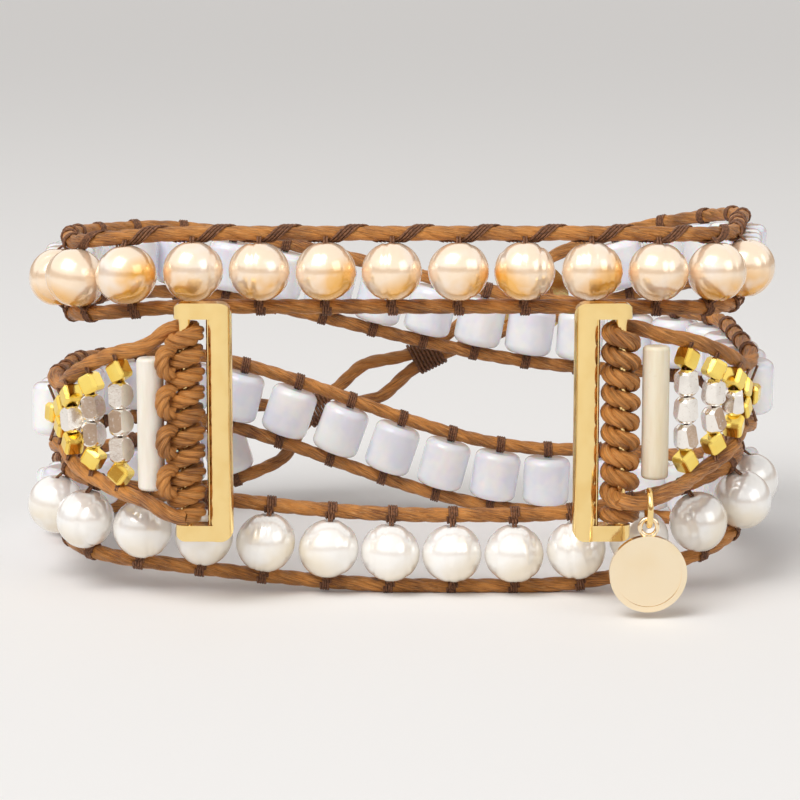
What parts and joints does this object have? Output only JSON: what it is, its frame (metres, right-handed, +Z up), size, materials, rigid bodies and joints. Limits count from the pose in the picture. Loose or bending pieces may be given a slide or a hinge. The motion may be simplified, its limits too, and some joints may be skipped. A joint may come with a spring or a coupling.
{
  "type": "pearl wrap watch band",
  "caption": "Beaded wrap band for a watch: two corded bead straps that coil round the wrist, with hinged rail adapters, a hanging charm and a button closure.",
  "frame": {"origin": "on the table under the middle of the loop, halfway between the foremost and the rearmost piece", "axes": "+X to the viewer's right along the watch's length, +Y away from the viewer, +Z up, across the strap's width"},
  "size_m": [0.0829, 0.0664, 0.0382],
  "materials": {
    "waxed_cord": "waxed, braided",
    "beading_thread": "matt",
    "peach_pearl": "pearly",
    "white_pearl": "pearly",
    "moonstone": "milky, polished",
    "bone": "satin",
    "gold_bead": "polished facets",
    "silver_bead": "polished facets",
    "gold_plate": "polished"
  },
  "bodies": {
    "strap": {"upper_strap_cord": "waxed_cord", "lower_strap_upper_cord": "waxed_cord", "lower_strap_lower_cord": "waxed_cord", "upper_strap_stitching": "beading_thread", "lower_strap_stitching": "beading_thread", "peach_pearl_1": "peach_pearl", "peach_pearl_2": "peach_pearl", "peach_pearl_3": "peach_pearl", "peach_pearl_4": "peach_pearl", "peach_pearl_5": "peach_pearl", "peach_pearl_6": "peach_pearl", "peach_pearl_7": "peach_pearl", "peach_pearl_8": "peach_pearl", "peach_pearl_9": "peach_pearl", "peach_pearl_10": "peach_pearl", "peach_pearl_11": "peach_pearl", "peach_pearl_12": "peach_pearl", "peach_pearl_13": "peach_pearl", "white_pearl_1": "white_pearl", "white_pearl_2": "white_pearl", "white_pearl_3": "white_pearl", "white_pearl_4": "white_pearl", "white_pearl_5": "white_pearl", "white_pearl_6": "white_pearl", "white_pearl_7": "white_pearl", "white_pearl_8": "white_pearl", "white_pearl_9": "white_pearl", "white_pearl_10": "white_pearl", "white_pearl_11": "white_pearl", "white_pearl_12": "white_pearl", "white_pearl_13": "white_pearl", "white_pearl_14": "white_pearl", "upper_drums_right_side": "moonstone", "upper_drums_back": "moonstone", "upper_drums_left_side": "moonstone", "upper_drums_tail": "moonstone", "lower_drums_left_side": "moonstone", "lower_drums_back": "moonstone", "lower_drums_right_side": "moonstone", "lower_drums_tail": "moonstone", "right_bar_bead": "bone", "left_bar_bead": "bone", "right_gold_cubes": "gold_bead", "left_gold_cubes": "gold_bead", "right_silver_nuggets": "silver_bead", "left_silver_nuggets": "silver_bead", "right_bar_winding": "waxed_cord", "left_bar_winding": "waxed_cord", "right_bar_knot": "waxed_cord", "left_lark_head_loops": "waxed_cord", "right_adapter_pin": "gold_plate", "left_adapter_pin": "gold_plate", "closure_whippings": "beading_thread"},
    "right_adapter_body": {"right_adapter": "gold_plate"},
    "left_adapter_body": {"left_adapter": "gold_plate"},
    "ring": {"jump_ring": "gold_plate"},
    "charm": {"charm_disc": "gold_plate"},
    "button": {"button_dome": "gold_plate", "button_shank": "gold_plate"}
  },
  "joints": [
    {"name": "right_adapter_turn", "type": "hinge", "parent": "strap", "child": "right_adapter_body", "pos_m": [0.0217, -0.0272, 0.0192], "axis": [0, 0, 1], "range_deg": [-35, 35]},
    {"name": "left_adapter_turn", "type": "hinge", "parent": "strap", "child": "left_adapter_body", "pos_m": [-0.0217, -0.0272, 0.0192], "axis": [0, 0, 1], "range_deg": [-35, 35]},
    {"name": "ring_swing", "type": "hinge", "parent": "strap", "child": "ring", "pos_m": [0.0243, -0.0313, 0.01172], "axis": [1, 0, 0], "range_deg": [-70, 3]},
    {"name": "charm_swing", "type": "hinge", "parent": "ring", "child": "charm", "pos_m": [0.0243, -0.0313, 0.00947], "axis": [0, 1, 0], "range_deg": [-25, 25]},
    {"name": "button_swivel", "type": "hinge", "parent": "strap", "child": "button", "pos_m": [0.01562, 0.0269, 0.02498], "axis": [0, 1, 0], "range_deg": [-15, 15]}
  ]
}
